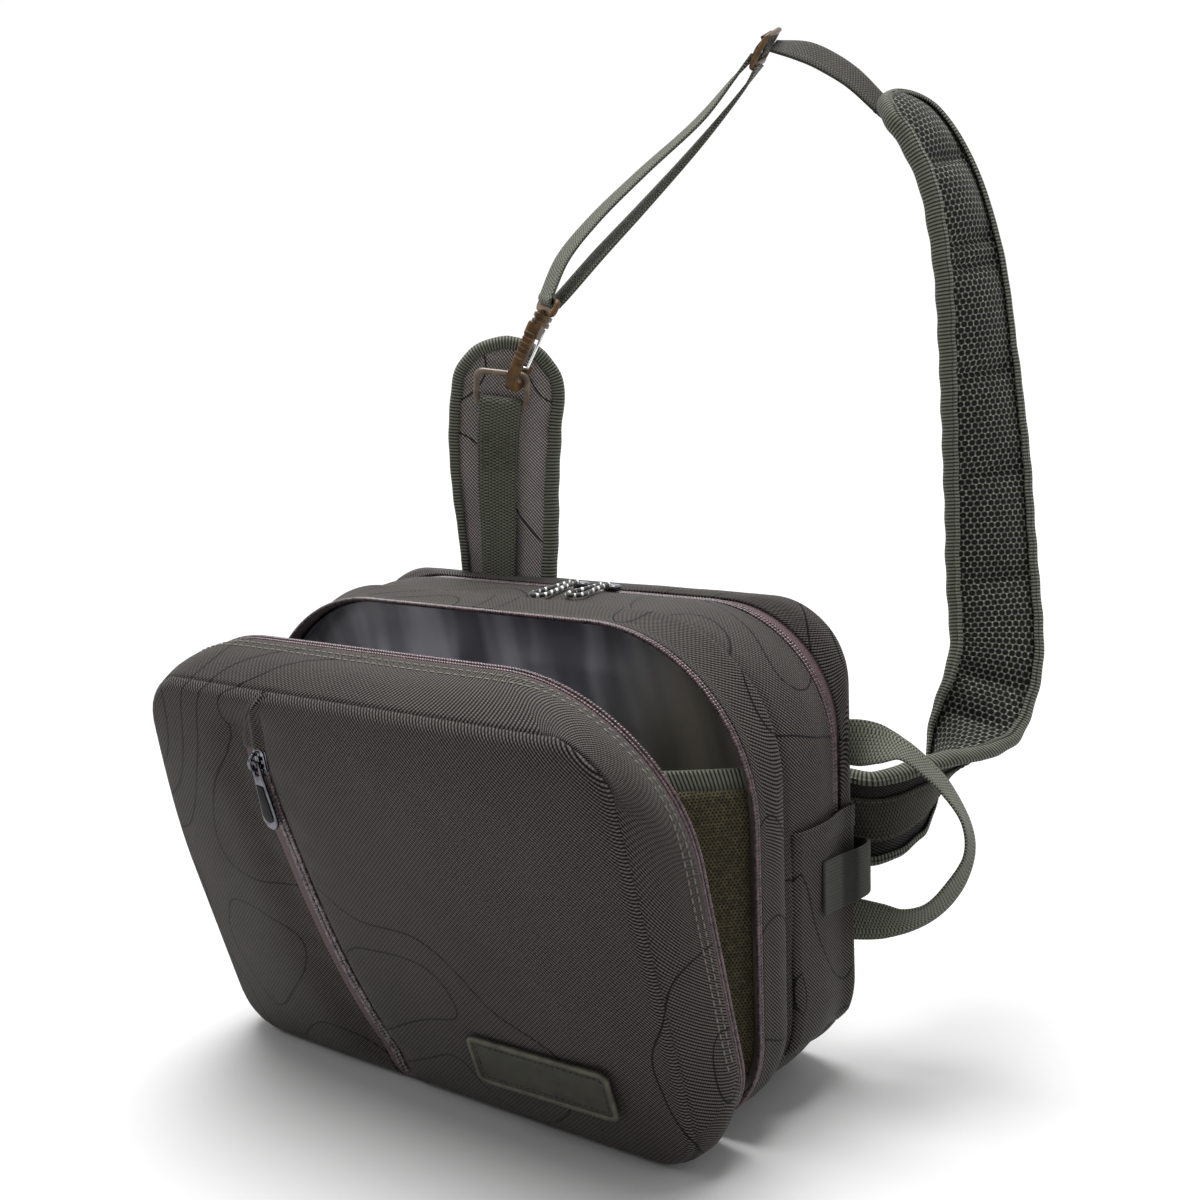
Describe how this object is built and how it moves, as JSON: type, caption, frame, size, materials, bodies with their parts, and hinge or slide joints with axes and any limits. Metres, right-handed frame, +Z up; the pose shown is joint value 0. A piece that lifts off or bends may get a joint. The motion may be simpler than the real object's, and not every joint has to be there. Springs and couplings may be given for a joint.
{
  "type": "fishing sling bag",
  "caption": "Soft sling bag with a boxy zipped body, lid pocket leaning open, padded tab with ring and snap hook, webbing carry handle and padded shoulder strap.",
  "frame": {"origin": "where the shoulder strap hangs, under the webbing at the top of its arch by the adjuster", "axes": "+X to the bag's right seen from the front, +Y to its back, +Z up"},
  "size_m": [0.414, 0.3631, 0.5795],
  "materials": {
    "fabric": "matt woven, printed",
    "lining": "satin coated",
    "zip": "woven tape, nylon coil",
    "mesh": "open mesh",
    "webbing": "ribbed webbing",
    "pad_mesh": "air mesh",
    "plastic": "moulded",
    "steel": "bright wire",
    "chrome": "dark plated",
    "rubber": "moulded, matt",
    "cord": "black cord with white flecks"
  },
  "bodies": {
    "bag": {"front_gusset": "fabric", "main_zip_body": "zip", "lining": "lining", "rear_gusset": "fabric", "rear_zip": "zip", "back_panel": "fabric", "lid_gusset": "fabric", "main_zip_lid": "zip", "lid_front_left": "fabric", "lid_front_right": "fabric", "pocket_zip": "zip", "badge": "rubber", "pocket_slider": "chrome", "bellows_right": "mesh", "bellows_binding_right": "webbing", "bellows_left": "mesh", "bellows_binding_left": "webbing", "side_pocket": "fabric", "side_loop": "webbing", "carry_handle": "webbing", "strap_pad": "pad_mesh", "pad_binding": "webbing", "strap_webbing": "webbing", "adjuster": "plastic", "tab": "fabric", "tab_binding": "webbing", "tab_webbing": "webbing", "d_ring": "plastic", "hook_body": "plastic", "hook_eye": "plastic", "strap_loop": "webbing", "rear_slider_left": "chrome", "cord_pull_left": "cord", "rear_slider_right": "chrome", "cord_pull_right": "cord"},
    "zip_pull": {"pocket_pull": "chrome"},
    "gate": {"hook_gate": "steel"}
  },
  "joints": [
    {"name": "pocket_pull_hinge", "type": "hinge", "parent": "bag", "child": "zip_pull", "pos_m": [-0.14822, -0.29349, -0.36559], "axis": [-0.9943, 0.1023, 0.0311], "range_deg": [0, 100]},
    {"name": "hook_gate_hinge", "type": "hinge", "parent": "bag", "child": "gate", "pos_m": [-0.11477, -0.08072, -0.14874], "axis": [-0.8661, -0.2624, 0.4255], "range_deg": [0, 14], "stiffness_Nm_per_rad": 0.02}
  ]
}
